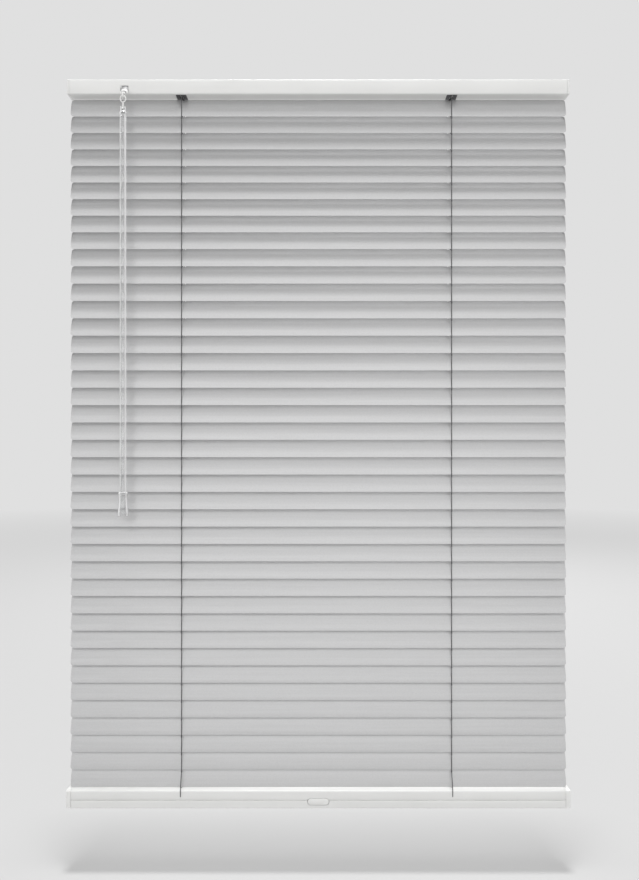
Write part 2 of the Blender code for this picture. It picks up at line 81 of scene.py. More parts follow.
# Headrail
SHEET = 0.8 * MM
LIP = 4.0 * MM
HEM = 2.2 * MM
BEND = 1.6 * MM
LIP_BEND = 0.8 * MM
CAP_BEVEL = 0.45 * MM
TONGUE_WALL = 1.2 * MM
TILTER_SLOT = (-252.0 * MM, -241.8 * MM, -6.8 * MM, 1.1 * MM)
SLOT_CORNER = 0.8 * MM
FLOOR_HOLE_HALF = (6.8 * MM, 10.0 * MM)
FLOOR_HOLE_CORNER = 1.0 * MM

# Cradles, as half widths along X and half depths along Y
PLUG_HALF = (6.5 * MM, 9.7 * MM)
FLANGE_HALF = (8.5 * MM, 11.1 * MM)
FLANGE_GAUGE = 1.2 * MM
CORD_SLOT_HALF = (2.2 * MM, 8.5 * MM)
CHEEK_HALF_DEPTH = 5.0 * MM
CHEEK_GAUGE = 1.2 * MM
CHEEK_STARTS = (-6.3 * MM, 5.1 * MM)
CHEEK_RISE = 0.5 * MM

# Slats
SLAT_COUNT = 40
SLAT_WIDTH = 25.0 * MM
SLAT_CROWN = 1.3 * MM
SLAT_GAUGE = 0.3 * MM
SLAT_CLOSED = math.radians(72.0)
SLAT_CORNER = 3.5 * MM
NOTCH_RADIUS = 2.5 * MM
NOTCH_DEPTH = 1.9 * MM
NOTCH_INBOARD = 2.0 * MM

# Ladders and lift cords
LADDER_REACH = 14.75 * MM
LADDER_X = {side: sum(corner.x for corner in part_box("ladder_front_" + side)) / 2 for side in SIDES}
CORD_RADIUS = 0.56 * MM
RUNG_RADIUS = 0.22 * MM
CORD_PITCH = 4.5 * MM
LOWEST_TIED_SLAT = 39
LIFT_CORD_INSET = 0.1 * MM
RUNG_SPREAD = 0.8 * MM
KNOT_RADIUS = 0.85 * MM
KNOT_HALF_HEIGHT = 2.1 * MM

# Drums and tilter
DRUM_RADIUS = 5.2 * MM
DRUM_HALF = 4.5 * MM
DRUM_GROOVE = 3.6 * MM
DRUM_RIM = 1.3 * MM
DRUM_SLANT = 0.6 * MM
DRUM_EASE = 0.3 * MM
WRAP_PITCH = 1.05 * MM
ROD_BORE = 3.0 * MM
BEARING_SLACK = 0.1 * MM
WORM_SLOPE = math.radians(50.0)
WORM_LEAD = 2.89027 * MM
WORM_CORE = 1.4 * MM
WORM_THREAD = 1.25 * MM
STEM_RADIUS = 1.6 * MM
STEM_BORE = 1.95 * MM
EYE_RADIUS = 3.0 * MM
EYE_WIRE = 0.7 * MM
CASE_WALL = 1.0 * MM
SNOUT_Z = -4.5 * MM
SNOUT_OUTER = (4.6 * MM, 4.2 * MM)
SNOUT_INNER = (3.4 * MM, 3.2 * MM)

# Hook and wand
HOOK_WIRE = 0.75 * MM
HOOK_HALF = (3.4 * MM, 4.15 * MM)
WAND_RADIUS = 4.4 * MM
ROD_TOP_Z = -39.7 * MM
FORK_HALF_GAP = 1.6 * MM
FORK_DEPTH = 3.2 * MM
GRIP_TOP_Z = -515.5 * MM
GRIP_BOTTOM_Z = -545.7 * MM

# Bottom rail
RAIL_WALL = 1.9 * MM
RAIL_CORNER = 1.6 * MM
GROOVE_Z = -908.3 * MM
GROOVE_HALF_HEIGHT = 0.55 * MM
GROOVE_DEPTH = 1.3 * MM
GROOVE_BEND = 0.15 * MM
GRIP_PLATE = (27.0 * MM, 7.9 * MM, -910.5 * MM)
PLATE_GAP = 0.5 * MM
PLATE_PROUD = 0.25 * MM
PLATE_DEPTH = 1.8 * MM
PLUG_HOLE_RADIUS = 4.6 * MM

# Stage. FADE is where, in metres from the floor's middle, it starts and stops fading to the horizon.
# Each light is its name, place, size in metres and power in watts.
HORIZON = 0.745
OVERHEAD = 0.06
FLOOR_DROP = 85.0 * MM
FLOOR_RADIUS = 9.0
FADE = (1.2, 6.0)
LIGHTS = (
    ("top_light", (0.0, -0.5, 6.0), 0.9, 300),
    ("front_light", (0.0, -3.2, 0.95), 3.4, 30),
    ("back_light", (0.5, 2.6, 1.2), 2.0, 40),
)
AIM = Vector((0, 0, -0.45))
CAMERA_PLACE = (1.5 * MM, -1075.0 * MM, -450.0 * MM)
CAMERA_LENS = 33.75
CAMERA_SENSOR = 36


# ---------------------------------------------------------------- materials

class Look:
    """A Principled material with its own noise, and the record's slot it stands for."""

    def __init__(self, name, slot, roughness, metallic=0.0, ior=1.5, transmission=0.0, coat=0.0):
        self.material = bpy.data.materials.new(name)
        self.material.use_nodes = True
        self.slot = slot
        self.tree = self.material.node_tree
        self.shader = self.tree.nodes["Principled BSDF"]
        self.place = self.tree.nodes.new("ShaderNodeTexCoord").outputs["Object"]
        for socket, value in (
            ("Roughness", roughness),
            ("Metallic", metallic),
            ("IOR", ior),
            ("Transmission Weight", transmission),
            ("Coat Weight", coat),
        ):
            self.shader.inputs[socket].default_value = value

    def noise(self, scale, detail=3.0, stretch=(1, 1, 1)):
        mapping = self.tree.nodes.new("ShaderNodeMapping")
        mapping.inputs["Scale"].default_value = stretch
        self.tree.links.new(self.place, mapping.inputs["Vector"])
        texture = self.tree.nodes.new("ShaderNodeTexNoise")
        texture.inputs["Scale"].default_value = scale
        texture.inputs["Detail"].default_value = detail
        self.tree.links.new(mapping.outputs["Vector"], texture.inputs["Vector"])
        return texture.outputs["Fac"]

    def cells(self, scale):
        texture = self.tree.nodes.new("ShaderNodeTexVoronoi")
        texture.inputs["Scale"].default_value = scale
        self.tree.links.new(self.place, texture.inputs["Vector"])
        return texture.outputs["Distance"]

    def plies(self, scale, tilt):
        """Slanting bands, as the plies of a twisted or braided cord."""
        mapping = self.tree.nodes.new("ShaderNodeMapping")
        mapping.inputs["Rotation"].default_value = (0, tilt, tilt)
        self.tree.links.new(self.place, mapping.inputs["Vector"])
        texture = self.tree.nodes.new("ShaderNodeTexWave")
        texture.bands_direction = "Z"
        texture.inputs["Scale"].default_value = scale
        texture.inputs["Distortion"].default_value = 1.2
        texture.inputs["Detail"].default_value = 2.0
        self.tree.links.new(mapping.outputs["Vector"], texture.inputs["Vector"])
        return texture.outputs["Fac"]

    def spread(self, fac, low, high, start=0.3, end=0.7):
        """fac as a number between low and high."""
        node = self.tree.nodes.new("ShaderNodeMapRange")
        node.inputs["From Min"].default_value = start
        node.inputs["From Max"].default_value = end
        node.inputs["To Min"].default_value = low
        node.inputs["To Max"].default_value = high
        self.tree.links.new(fac, node.inputs["Value"])
        return node.outputs["Result"]

    def sum(self, first, second):
        node = self.tree.nodes.new("ShaderNodeMath")
        self.tree.links.new(first, node.inputs[0])
        self.tree.links.new(second, node.inputs[1])
        return node.outputs["Value"]

    def colour(self, fac, dark, light):
        ramp = self.tree.nodes.new("ShaderNodeValToRGB")
        ramp.color_ramp.elements[0].position = 0.3
        ramp.color_ramp.elements[0].color = (*dark, 1)
        ramp.color_ramp.elements[1].position = 0.7
        ramp.color_ramp.elements[1].color = (*light, 1)
        self.tree.links.new(fac, ramp.inputs["Fac"])
        self.tree.links.new(ramp.outputs["Color"], self.shader.inputs["Base Color"])
        self.material.diffuse_color = (*light, 1)

    def roughness(self, fac, low, high):
        self.tree.links.new(self.spread(fac, low, high), self.shader.inputs["Roughness"])

    def bump(self, fac, depth, strength=1.0):
        node = self.tree.nodes.new("ShaderNodeBump")
        node.inputs["Distance"].default_value = depth
        node.inputs["Strength"].default_value = strength
        self.tree.links.new(fac, node.inputs["Height"])
        self.tree.links.new(node.outputs["Normal"], self.shader.inputs["Normal"])


def enamel():
    """Off-white baked paint on sheet steel, with a faint orange peel."""
    look = Look("white_enamel", "white_painted_steel", 0.38, coat=0.15)
    look.shader.inputs["Coat Roughness"].default_value = 0.25
    look.colour(look.noise(35, 5, (0.35, 1, 1)), (0.775, 0.775, 0.762), (0.815, 0.815, 0.803))
    peel = look.noise(650, 2)
    look.roughness(peel, 0.33, 0.44)
    look.bump(look.sum(peel, look.noise(2600, 3)), 0.03 * MM, 0.5)
    return look


def slat_paint():
    """Satin light grey coil coating: fine pigment grain, with faint streaks along the roll."""
    look = Look("satin_grey_slat", "grey_aluminium", 0.34, metallic=0.35)
    streaks = look.noise(420, 3, (0.02, 1, 1))
    grain = look.noise(900, 4, (0.6, 1, 1))
    look.colour(
        look.sum(look.spread(streaks, 0.0, 0.4), look.spread(grain, 0.0, 0.6)),
        (0.540, 0.540, 0.543),
        (0.570, 0.570, 0.573),
    )
    look.roughness(grain, 0.30, 0.38)
    look.bump(look.sum(grain, look.noise(3200, 2)), 0.02 * MM, 0.35)
    return look


def white_moulding():
    """White moulded plastic with a fine spark-eroded grain."""
    look = Look("white_moulding", "white_plastic", 0.40)
    look.colour(look.noise(90, 4), (0.790, 0.790, 0.776), (0.835, 0.835, 0.822))
    grain = look.noise(2400, 3)
    look.roughness(look.noise(260, 3), 0.34, 0.48)
    look.bump(grain, 0.025 * MM, 0.5)
    return look


def grey_moulding():
    """Dark grey matte plastic."""
    look = Look("grey_moulding", "grey_plastic", 0.55)
    look.colour(look.noise(180, 4), (0.060, 0.060, 0.064), (0.095, 0.095, 0.100))
    look.roughness(look.noise(420, 3), 0.48, 0.64)
    look.bump(look.noise(2200, 3), 0.03 * MM, 0.6)
    return look


def zinc():
    """Bright zinc plate over drawn steel, with draw lines along the rod."""
    look = Look("zinc_plate", "zinc_steel", 0.32, metallic=1.0)
    lines = look.noise(1400, 3, (0.01, 1, 1))
    look.colour(look.cells(160), (0.50, 0.51, 0.53), (0.66, 0.67, 0.69))
    look.roughness(lines, 0.24, 0.42)
    look.bump(lines, 0.02 * MM, 0.5)
    return look


def acrylic():
    """Clear acrylic with faint handling scuffs. Where it is seen edge on it turns milky white, a painted
    highlight along its edges.
    """
    look = Look("clear_acrylic", "clear_acrylic", 0.04, ior=1.49, transmission=1.0)
    scuffs = look.noise(700, 4, (1, 1, 0.04))
    look.roughness(scuffs, 0.02, 0.11)
    look.bump(scuffs, 0.01 * MM, 0.3)
    # Painted highlight: the facing angle turns the rod milky white at its edges, in place of bright edge
    # glints.
    edge = look.tree.nodes.new("ShaderNodeLayerWeight").outputs["Facing"]
    painted_edge_highlight = look.spread(edge, 0.98, 0.10, 0.15, 0.42)
    look.tree.links.new(painted_edge_highlight, look.shader.inputs["Transmission Weight"])
    look.colour(look.noise(60, 2), (0.970, 0.973, 0.975), (0.985, 0.988, 0.988))
    return look


def grey_nylon():
    """Light grey moulded nylon of the tilter's case."""
    look = Look("grey_nylon", "grey_plastic", 0.5)
    look.colour(look.noise(150, 4), (0.36, 0.36, 0.365), (0.46, 0.46, 0.465))
    look.roughness(look.noise(380, 3), 0.42, 0.58)
    look.bump(look.noise(2200, 3), 0.03 * MM, 0.5)
    return look


def cord_yarn():
    """Dark grey braided polyester."""
    look = Look("grey_yarn", "grey_string", 0.85)
    look.shader.inputs["Sheen Weight"].default_value = 0.25
    braid = look.sum(look.spread(look.plies(260, 0.6), 0, 0.5), look.spread(look.plies(260, -0.6), 0, 0.5))
    look.colour(braid, (0.060, 0.060, 0.064), (0.125, 0.125, 0.130))
    look.roughness(look.noise(1500, 2), 0.78, 0.95)
    look.bump(braid, 0.05 * MM, 0.8)
    return look


# ---------------------------------------------------------------- mesh tools

def mesh_from(name, bm, smooth=35.0):
    bmesh.ops.recalc_face_normals(bm, faces=bm.faces)
    mesh = bpy.data.meshes.new(name)
    bm.to_mesh(mesh)
    bm.free()
    mesh.shade_smooth()
    mesh.set_sharp_from_angle(angle=math.radians(smooth))
    return mesh


def loft(name, rings, loop=False):
    """A closed mesh through rings of equal length. Without loop, a face closes each end."""
    bm = bmesh.new()
    loops = [[bm.verts.new(point) for point in ring] for ring in rings]
    pairs = list(zip(loops, loops[1:]))
    if loop:
        pairs.append((loops[-1], loops[0]))
    for low, high in pairs:
        for i in range(len(low)):
            j = (i + 1) % len(low)
            bm.faces.new((low[i], low[j], high[j], high[i]))
    if not loop:
        bm.faces.new(loops[0])
        bm.faces.new(loops[-1])
    return mesh_from(name, bm)


def rounded(corners, steps=6, closed=True):
    """(u, v, radius) corners as a list of (u, v) points, with each corner turned into an arc."""
    points = []
    count = len(corners)
    for i, (u, v, radius) in enumerate(corners):
        here = Vector((u, v))
        if radius == 0 or (not closed and i in (0, count - 1)):
            points.append((u, v))
            continue
        before = (Vector(corners[i - 1][:2]) - here).normalized()
        after = (Vector(corners[(i + 1) % count][:2]) - here).normalized()
        half = before.angle(after) / 2
        centre = here + (before + after).normalized() * (radius / math.sin(half))
        start = here + before * (radius / math.tan(half)) - centre
        end = here + after * (radius / math.tan(half)) - centre
        turn = start.angle_signed(end)
        for step in range(steps + 1):
            spoke = start.copy()
            spoke.rotate(Matrix.Rotation(-turn * step / steps, 2))
            points.append(tuple(centre + spoke))
    return points


def rectangle(u_low, u_high, v_low, v_high, radius, steps=6):
    corners = ((u_high, v_high), (u_low, v_high), (u_low, v_low), (u_high, v_low))
    return rounded([(u, v, radius) for u, v in corners], steps)


def rectangle_about(u, v, half_u, half_v, radius):
    return rectangle(u - half_u, u + half_u, v - half_v, v + half_v, radius)


def arc(u, v, width, height, steps):
    """Half an ellipse about a point, from +width over the top to -width."""
    angles = [math.pi * i / steps for i in range(steps + 1)]
    return [(u + width * math.cos(angle), v + height * math.sin(angle)) for angle in angles]


def ribbon(points, thickness):
    """The outline of a sheet of even thickness along an open centre-line."""
    sides = ([], [])
    for i, point in enumerate(points):
        before = Vector(points[max(i - 1, 0)])
        after = Vector(points[min(i + 1, len(points) - 1)])
        along = (after - before).normalized()
        across = Vector((-along.y, along.x)) * (thickness / 2)
        sides[0].append(tuple(Vector(point) + across))
        sides[1].append(tuple(Vector(point) - across))
    return sides[0] + sides[1][::-1]


def along_x(name, outline, x_low, x_high):
    """A (y, z) outline extruded along X."""
    return loft(name, [[(x, y, z) for y, z in outline] for x in (x_low, x_high)])


def along_y(name, outline, y_low, y_high):
    """An (x, z) outline extruded along Y."""
    return loft(name, [[(x, y, z) for x, z in outline] for y in (y_low, y_high)])


def along_z(name, outline, z_low, z_high):
    """An (x, y) outline extruded along Z."""
    return loft(name, [[(x, y, z) for x, y in outline] for z in (z_low, z_high)])


def circle(radius, sides):
    step = 2 * math.pi / sides
    return [(radius * math.cos(i * step), radius * math.sin(i * step)) for i in range(sides)]


def turned(name, profile, sides=32):
    """(radius, height) points turned about local Z."""
    return loft(name, [[(x, y, height) for x, y in circle(radius, sides)] for radius, height in profile])


def turn_to_x(mesh, x, y, z):
    """Lays a mesh made about local Z along X, with its origin at a point."""
    mesh.transform(Matrix.Translation((x, y, z)) @ Matrix.Rotation(math.pi / 2, 4, "Y"))
    return mesh


def rod_cutter(radius, place):
    """A round cutter along X for the tilt rod's way."""
    return turn_to_x(turned("rod_bore", [(radius, -12 * MM), (radius, 12 * MM)]), *place)


def moved(mesh, x, y, z):
    mesh.transform(Matrix.Translation((x, y, z)))
    return mesh


def oval_ring(name, half_width, half_height, wire, steps=48, sides=14):
    """A closed oval of round wire in the local XZ plane."""
    rings = []
    for i in range(steps):
        angle = 2 * math.pi * i / steps
        centre = Vector((half_width * math.cos(angle), 0, half_height * math.sin(angle)))
        outward = Vector((half_height * math.cos(angle), 0, half_width * math.sin(angle))).normalized()
        rings.append([centre + outward * a + Vector((0, b, 0)) for a, b in circle(wire, sides)])
    return loft(name, rings, loop=True)


def tube(name, points, radius, sides=8):
    """A round thread along points, with flat ends."""
    path = [Vector(point) for point in points]
    side = Vector((1, 0, 0))
    rings = []
    for i, centre in enumerate(path):
        along = (path[min(i + 1, len(path) - 1)] - path[max(i - 1, 0)]).normalized()
        other = along.cross(side).normalized()
        flat = other.cross(along)
        rings.append([centre + flat * a + other * b for a, b in circle(radius, sides)])
    return loft(name, rings)


def merged(name, meshes):
    """Several meshes as one."""
    bm = bmesh.new()
    for mesh in meshes:
        bm.from_mesh(mesh)
    return mesh_from(name, bm)


def modified(mesh, kind, **settings):
    """The mesh with one modifier applied."""
    holder = bpy.data.objects.new("holder", mesh)
    bpy.context.scene.collection.objects.link(holder)
    modifier = holder.modifiers.new(kind, kind)
    for key, value in settings.items():
        setattr(modifier, key, value)
    graph = bpy.context.evaluated_depsgraph_get()
    made = bpy.data.meshes.new_from_object(holder.evaluated_get(graph))
    bpy.data.objects.remove(holder)
    return made


def softened(mesh, width, segments=2):
    """The mesh with its sharp edges rounded off."""
    limit = {"limit_method": "ANGLE", "angle_limit": math.radians(40)}
    made = modified(mesh, "BEVEL", width=width, segments=segments, **limit)
    made.shade_smooth()
    made.set_sharp_from_angle(angle=math.radians(50))
    return made


def boolean(mesh, tool, operation):
    helper = bpy.data.objects.new("helper", tool)
    bpy.context.scene.collection.objects.link(helper)
    made = modified(mesh, "BOOLEAN", operation=operation, solver="EXACT", object=helper)
    bpy.data.objects.remove(helper)
    made.shade_smooth()
    made.set_sharp_from_angle(angle=math.radians(35))
    return made


def cut(mesh, *tools):
    for tool in tools:
        mesh = boolean(mesh, tool, "DIFFERENCE")
    return mesh


def joined(mesh, *tools):
    for tool in tools:
        mesh = boolean(mesh, tool, "UNION")
    return mesh


def piece(name, mesh, look, body=None, stands_for=()):
    """A named object with its finish. It rides on a body, and may stand for CAD nodes."""
    obj = bpy.data.objects.new(name, mesh)
    bpy.context.scene.collection.objects.link(obj)
    mesh.name = name
    mesh.materials.clear()
    mesh.materials.append(look.material)
    if body:
        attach(obj, body)
    if stands_for:
        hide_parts(*stands_for)
    return obj


def refinish(node, look):
    """A new finish on a CAD node that stays."""
    obj = frame["nodes"][node]
    obj.data.materials.clear()
    obj.data.materials.append(look.material)


# ---------------------------------------------------------------- headrail

def headrail_section():
    """A folded channel with inward lips, each hemmed downwards."""
    half = SHEET / 2
    front = HEAD_LOW.y + half
    back = HEAD_HIGH.y - half
    floor = HEAD_LOW.z + half
    top = HEAD_HIGH.z - half
    front_lip = HEAD_LOW.y + LIP - half
    back_lip = HEAD_HIGH.y - LIP + half
    corners = [
        (front_lip, top - HEM, 0),
        (front_lip, top, LIP_BEND),
        (front, top, BEND),
        (front, floor, BEND),
        (back, floor, BEND),
        (back, top, BEND),
        (back_lip, top, LIP_BEND),
        (back_lip, top - HEM, 0),
    ]
    return ribbon(rounded(corners, closed=False), SHEET)


def headrail(look):
    floor_z = HEAD_LOW.z
    rail = along_x("channel", headrail_section(), HEAD_LOW.x, HEAD_HIGH.x)
    for side in SIDES:
        x = LADDER_X[side]
        half_x, half_y = FLOOR_HOLE_HALF
        hole = rectangle(x - half_x, x + half_x, AXIS_Y - half_y, AXIS_Y + half_y, FLOOR_HOLE_CORNER)
        rail = cut(rail, along_z("floor_hole", hole, floor_z - OVERRUN, floor_z + OVERRUN))
    slot = rectangle(*TILTER_SLOT, SLOT_CORNER)
    rail = cut(rail, along_y("tilter_slot", slot, RAIL_FRONT - OVERRUN, RAIL_FRONT + OVERRUN))
    piece("headrail_channel", rail, look, "headrail", ["headrail"])


def headrail_caps(look):
    """Moulded end plates, each with a hollow tongue inside the channel."""
    for side, sign in zip(SIDES, (-1, 1)):
        node_low, node_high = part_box("headrail_cap_" + side)
        outer = sign * HEAD_END
        inner = sign * (HEAD_HIGH.x + GAP)
        section = rectangle(node_low.y, node_high.y, node_low.z, node_high.z, BEND, 8)
        plate = softened(along_x("plate", section, *sorted((inner, outer))), CAP_BEVEL, 3)
        inset = SHEET + GAP
        tongue_end = node_high.x if sign < 0 else node_low.x
        corner = 0.6 * MM
        wall = inset + TONGUE_WALL
        grip = rectangle(
            node_low.y + inset,
            node_high.y - inset,
            node_low.z + inset,
            node_high.z - inset,
            corner,
        )
        hollow = rectangle(
            node_low.y + wall,
            node_high.y - wall,
            node_low.z + wall,
            node_high.z + 5 * MM,
            corner,
        )
        tongue = along_x("tongue", grip, *sorted((tongue_end, inner + sign * OVERLAP)))
        tongue = cut(tongue, along_x("tongue_hollow", hollow, *sorted((tongue_end - sign * OVERRUN, inner))))
        cap = joined(plate, tongue)
        piece("end_cap_" + side, cap, look, "headrail", ["headrail_cap_" + side])


def cradles(look):
    """Floor plug with a cord slot, and two arched cheeks that carry the rod beside the drum."""
    inner = HEAD_LOW.z + SHEET + GAP
    for side in SIDES:
        x = LADDER_X[side]
        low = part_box("drum_cradle_" + side)[0].z
        plug = rectangle_about(x, AXIS_Y, *PLUG_HALF, 0.9 * MM)
        flange = rectangle_about(x, AXIS_Y, *FLANGE_HALF, 1.5 * MM)
        body = softened(along_z("plug", plug, low, inner + FLANGE_GAUGE + 0.2 * MM), 0.25 * MM)
        body = joined(body, along_z("flange", flange, inner, inner + FLANGE_GAUGE))
        foot = inner + CHEEK_RISE
        arch = [(AXIS_Y - CHEEK_HALF_DEPTH, foot)]
        arch += arc(AXIS_Y, SHAFT.z + CHEEK_RISE, -CHEEK_HALF_DEPTH, CHEEK_HALF_DEPTH, 16)
        arch.append((AXIS_Y + CHEEK_HALF_DEPTH, foot))
        for start in CHEEK_STARTS:
            body = joined(body, along_x("cheek", arch, x + start, x + start + CHEEK_GAUGE))
        slot = rectangle_about(x, AXIS_Y, *CORD_SLOT_HALF, 1.2 * MM)
        cord_slot = along_z("cord_slot", slot, low - OVERRUN, inner + 4 * MM)
        body = cut(body, cord_slot, rod_cutter(ROD_BORE + BEARING_SLACK, (x, AXIS_Y, SHAFT.z)))
        piece("cradle_" + side, body, look, "headrail", ["drum_cradle_" + side])


def drums(plastic, yarn):
    """Flanged ladder drums on the hexagonal rod, each with turns of string lying in its groove."""
    half = DRUM_HALF
    rim = half - DRUM_RIM
    groove = rim - DRUM_SLANT
    profile = [
        (DRUM_RADIUS - DRUM_EASE, -half),
        (DRUM_RADIUS, -half + DRUM_EASE),
        (DRUM_RADIUS, -rim),
        (DRUM_GROOVE, -groove),
        (DRUM_GROOVE, groove),
        (DRUM_RADIUS, rim),
        (DRUM_RADIUS, half - DRUM_EASE),
        (DRUM_RADIUS - DRUM_EASE, half),
    ]
    for side in SIDES:
        x = LADDER_X[side]
        bore = turned("hex_bore", [(ROD_BORE, -2 * half), (ROD_BORE, 2 * half)], 6)
        drum = cut(turned("drum", profile, 48), bore)
        piece("drum_" + side, turn_to_x(drum, x, *SHAFT.yz), plastic, "tilt_shaft", ["ladder_drum_" + side])
        wrap_radius = DRUM_GROOVE + CORD_RADIUS
        turns = []
        for i in range(-2, 3):
            wrap = oval_ring("wrap", wrap_radius, wrap_radius, 0.9 * CORD_RADIUS, 40, 8)
            wrap.transform(Matrix.Rotation(math.pi / 2, 4, "Z"))
            turns.append(moved(wrap, x + i * WRAP_PITCH, *SHAFT.yz))
        piece("drum_wraps_" + side, merged("wraps", turns), yarn, "tilt_shaft")


# ---------------------------------------------------------------- tilter and wand

def worm_frame():
    """Local Z runs down the worm towards the room, and local X points at the gear."""
    down = Vector((0, -math.cos(WORM_SLOPE), -math.sin(WORM_SLOPE)))
    to_gear = Vector((0, math.sin(WORM_SLOPE), -math.cos(WORM_SLOPE)))
    axes = Matrix((to_gear, Vector((1, 0, 0)), down)).transposed().to_4x4()
    axes.translation = Vector(JOINTS["worm_spin"]["pos_m"])
    return axes


def worm(stem_look, eye_look):
    """Threaded worm with a stem, and the round eye with its boss at the stem's end outside the rail."""
    reach = (JOINTS["worm_spin"]["pos_m"][1] - WAND_PIVOT.y) / math.cos(WORM_SLOPE)
    eye_centre = reach + 1.7 * MM - EYE_RADIUS
    sides = 40
    steps_per_turn = 24
    turns_each_way = 1.25
    steps = int(turns_each_way * steps_per_turn)
    rings = []
    for i in range(-steps, steps + 1):
        height = WORM_LEAD * i / steps_per_turn
        points = []
        for k in range(sides):
            turn = k / sides
            crest = (0.5 + 0.5 * math.cos(2 * math.pi * (height / WORM_LEAD - turn))) ** 1.5
            radius = WORM_CORE + WORM_THREAD * crest
            angle = 2 * math.pi * turn
            points.append((radius * math.cos(angle), radius * math.sin(angle), height))
        rings.append(points)
    top = eye_centre - EYE_RADIUS
    for radius, height in (
        (STEM_RADIUS, turns_each_way * WORM_LEAD + 0.4 * MM),
        (STEM_RADIUS, top - 1.0 * MM),
        (0.9 * STEM_RADIUS, top - 0.4 * MM),
        (0.7 * STEM_RADIUS, top + 0.3 * MM),
    ):
        rings.append([(x, y, height) for x, y in circle(radius, sides)])
    stem = loft("worm", rings)
    stem.transform(worm_frame())
    piece("worm_stem", stem, stem_look, "tilter_worm", ["tilter_worm"])
    boss_profile = [
        (1.7 * MM, top - 3.0 * MM),
        (2.7 * MM, top - 2.4 * MM),
        (3.1 * MM, top - 1.4 * MM),
        (2.9 * MM, top - 0.5 * MM),
        (2.0 * MM, top),
    ]
    ring = moved(oval_ring("eye", EYE_RADIUS, EYE_RADIUS, EYE_WIRE), 0, 0, eye_centre)
    eye = joined(ring, turned("boss", boss_profile, sides))
    eye.transform(worm_frame())
    piece("worm_eye", eye, eye_look, "tilter_worm")


def housing(look, white):
    """Open-topped box round the gear, with an arched snout in the slot and a white rim at its mouth."""
    low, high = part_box("tilter_housing")
    outline = rectangle(low.x, high.x, low.y, high.y, 0.8 * MM)
    shell = softened(along_z("case", outline, low.z, high.z), 0.25 * MM)
    wall = CASE_WALL
    room = rectangle(low.x + wall, high.x - wall, low.y + wall, high.y - wall, 0.5 * MM)
    rod = rod_cutter(ROD_BORE + BEARING_SLACK, (TILTER_X, *SHAFT.yz))
    stem = turned("stem_bore", [(STEM_BORE, 5 * MM), (STEM_BORE, 16 * MM)])
    stem.transform(worm_frame())
    shell = cut(shell, along_z("room", room, low.z + wall, high.z + 4 * MM), rod, stem)
    piece("tilter_case", shell, look, "headrail", ["tilter_housing"])
    snout("tilter_snout", -0.6 * MM, 3.7 * MM, 0.0, look)
    snout("snout_rim", 3.5 * MM, 6.0 * MM, 0.25 * MM, white)


def snout(name, start, end, swell, look):
    """A stretch of the arched cover that slopes down out of the slot, over the worm's stem."""
    rings = []
    for forward in (start, end):
        centre_z = SNOUT_Z - forward * math.tan(WORM_SLOPE)
        outer = arc(TILTER_X, centre_z, SNOUT_OUTER[0] + swell, SNOUT_OUTER[1] + swell, 24)
        inner = arc(TILTER_X, centre_z, *SNOUT_INNER, 24)
        rings.append([(x, RAIL_FRONT - forward, z) for x, z in outer + inner[::-1]])
    piece(name, softened(loft(name, rings), 0.2 * MM), look, "headrail")


def hook(look):
    """Closed wire eye with a flat drilled foot for the wand's pin."""
    half_width, half_height = HOOK_HALF
    centre_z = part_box("wand_hook")[1].z - HOOK_WIRE - half_height
    eye = oval_ring("hook", half_width, half_height, HOOK_WIRE)
    made = moved(eye, WAND_PIVOT.x, WAND_PIVOT.y, centre_z)
    shank_top = centre_z - half_height + 0.2 * MM
    shank_profile = [
        (1.15 * MM, WAND_PIVOT.z + 1.0 * MM),
        (1.2 * MM, shank_top - 0.9 * MM),
        (0.9 * MM, shank_top),
    ]
    made = joined(made, moved(turned("shank", shank_profile, 24), WAND_PIVOT.x, WAND_PIVOT.y, 0))
    foot_profile = [(1.7 * MM, -1.2 * MM), (2.0 * MM, -0.9 * MM), (2.0 * MM, 0.9 * MM), (1.7 * MM, 1.2 * MM)]
    foot = turned("foot", foot_profile, 32)
    hole = turned("foot_hole", [(1.0 * MM, -3 * MM), (1.0 * MM, 3 * MM)], 24)
    made = cut(joined(made, turn_to_x(foot, *WAND_PIVOT)), turn_to_x(hole, *WAND_PIVOT))
    piece("hook_eye", made, look, "wand_hook", ["wand_hook"])


